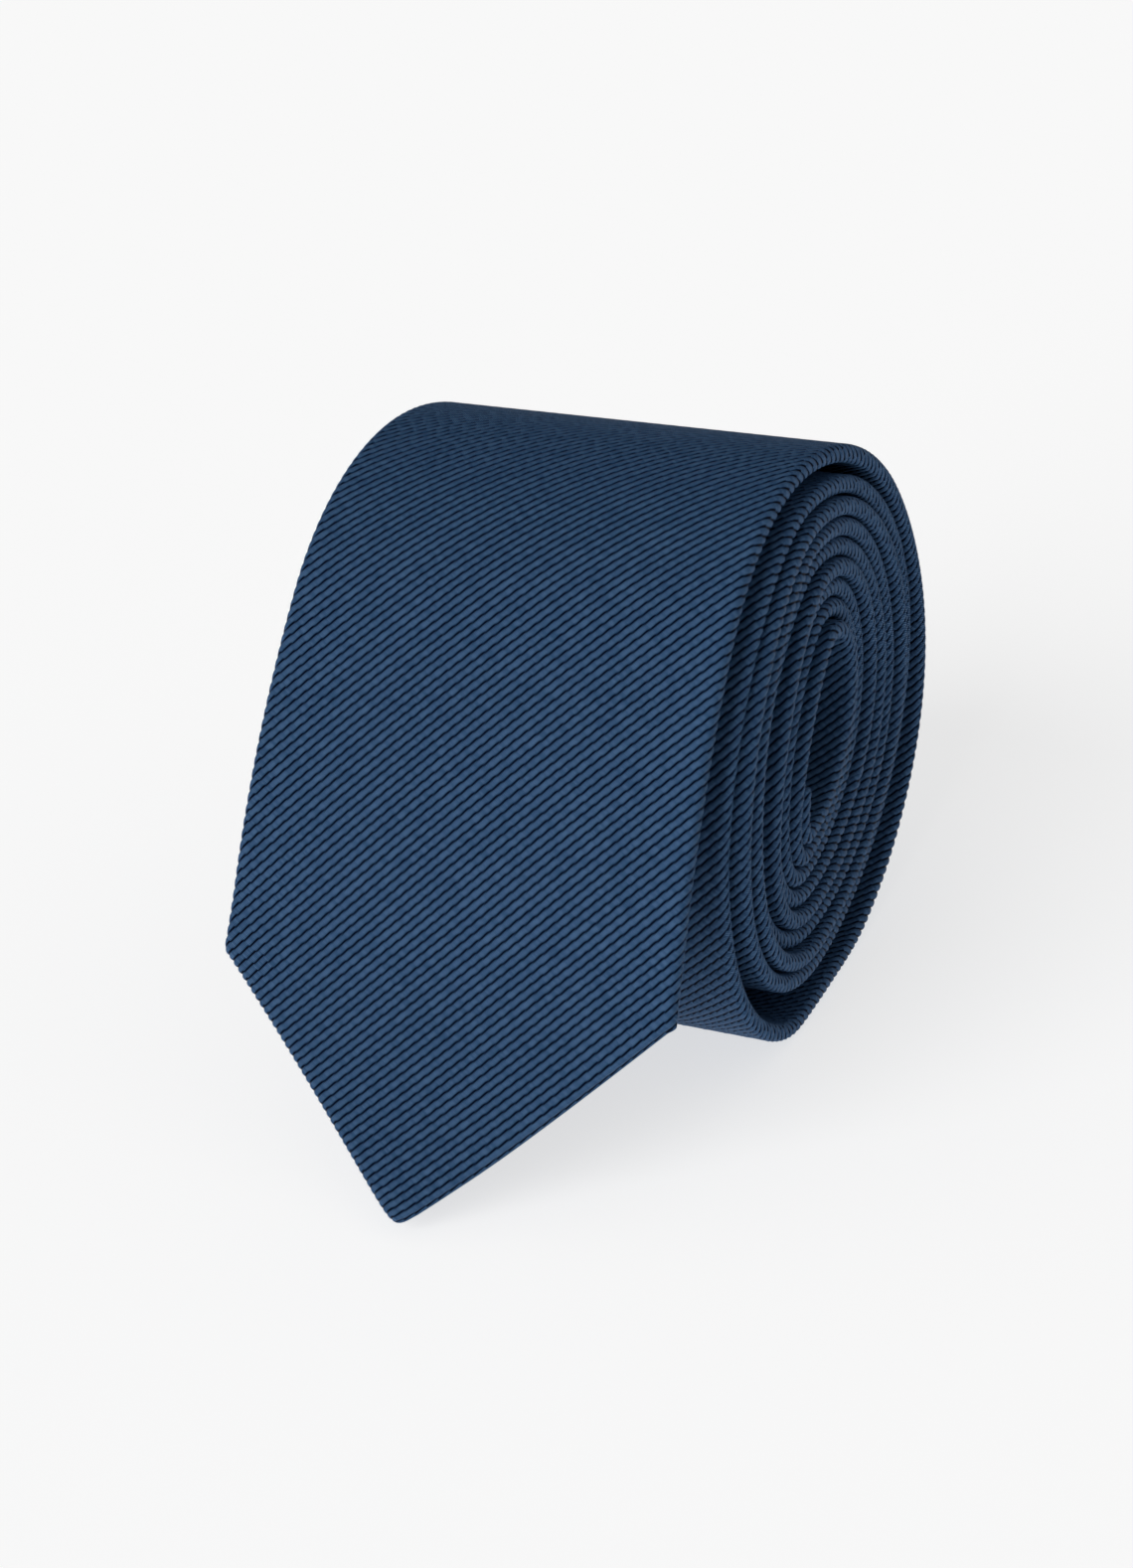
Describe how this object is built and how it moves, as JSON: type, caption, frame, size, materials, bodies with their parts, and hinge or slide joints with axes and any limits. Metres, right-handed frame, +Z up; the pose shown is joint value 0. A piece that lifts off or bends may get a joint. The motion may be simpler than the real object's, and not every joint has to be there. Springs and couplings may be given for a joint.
{
  "type": "rolled necktie",
  "caption": "Lined ribbed necktie rolled from its tail, standing on its outer turn, with the pointed blade hanging down in front; the blade lifts.",
  "frame": {"origin": "on the surface that the roll rests on, under the middle of the object's bounding box", "axes": "+X along the roll towards the flush end of the spiral, -Y towards the hanging blade, +Z up"},
  "size_m": [0.065, 0.116, 0.0803],
  "materials": {
    "face_fabric": "ribbed weave with a soft sheen",
    "interlining_wool": "brushed wool",
    "tipping_fabric": "smooth satin lining",
    "sewing_thread": "twisted thread",
    "label_ribbon": "woven ribbon"
  },
  "bodies": {
    "roll": {"blade_shell": "face_fabric", "neck_shell": "face_fabric", "tail_shell": "face_fabric", "interlining": "interlining_wool", "tail_tipping": "tipping_fabric", "tail_tipping_seam": "sewing_thread", "tail_bar_tack": "sewing_thread", "keeper_loop": "face_fabric", "keeper_stitches": "sewing_thread", "label": "label_ribbon", "label_stitches": "sewing_thread", "care_label": "label_ribbon", "slip_stitch_thread": "sewing_thread", "blade_neck_seam": "sewing_thread", "neck_tail_seam": "sewing_thread"},
    "blade_end": {"blade_end_shell": "face_fabric", "blade_end_interlining": "interlining_wool", "blade_tipping": "tipping_fabric", "blade_tipping_seam": "sewing_thread", "blade_bar_tack": "sewing_thread"}
  },
  "joints": [
    {"name": "blade_lift", "type": "hinge", "parent": "roll", "child": "blade_end", "pos_m": [0, -0.00223, 0.07711], "axis": [-1, 0, 0], "range_deg": [0, 75]}
  ]
}
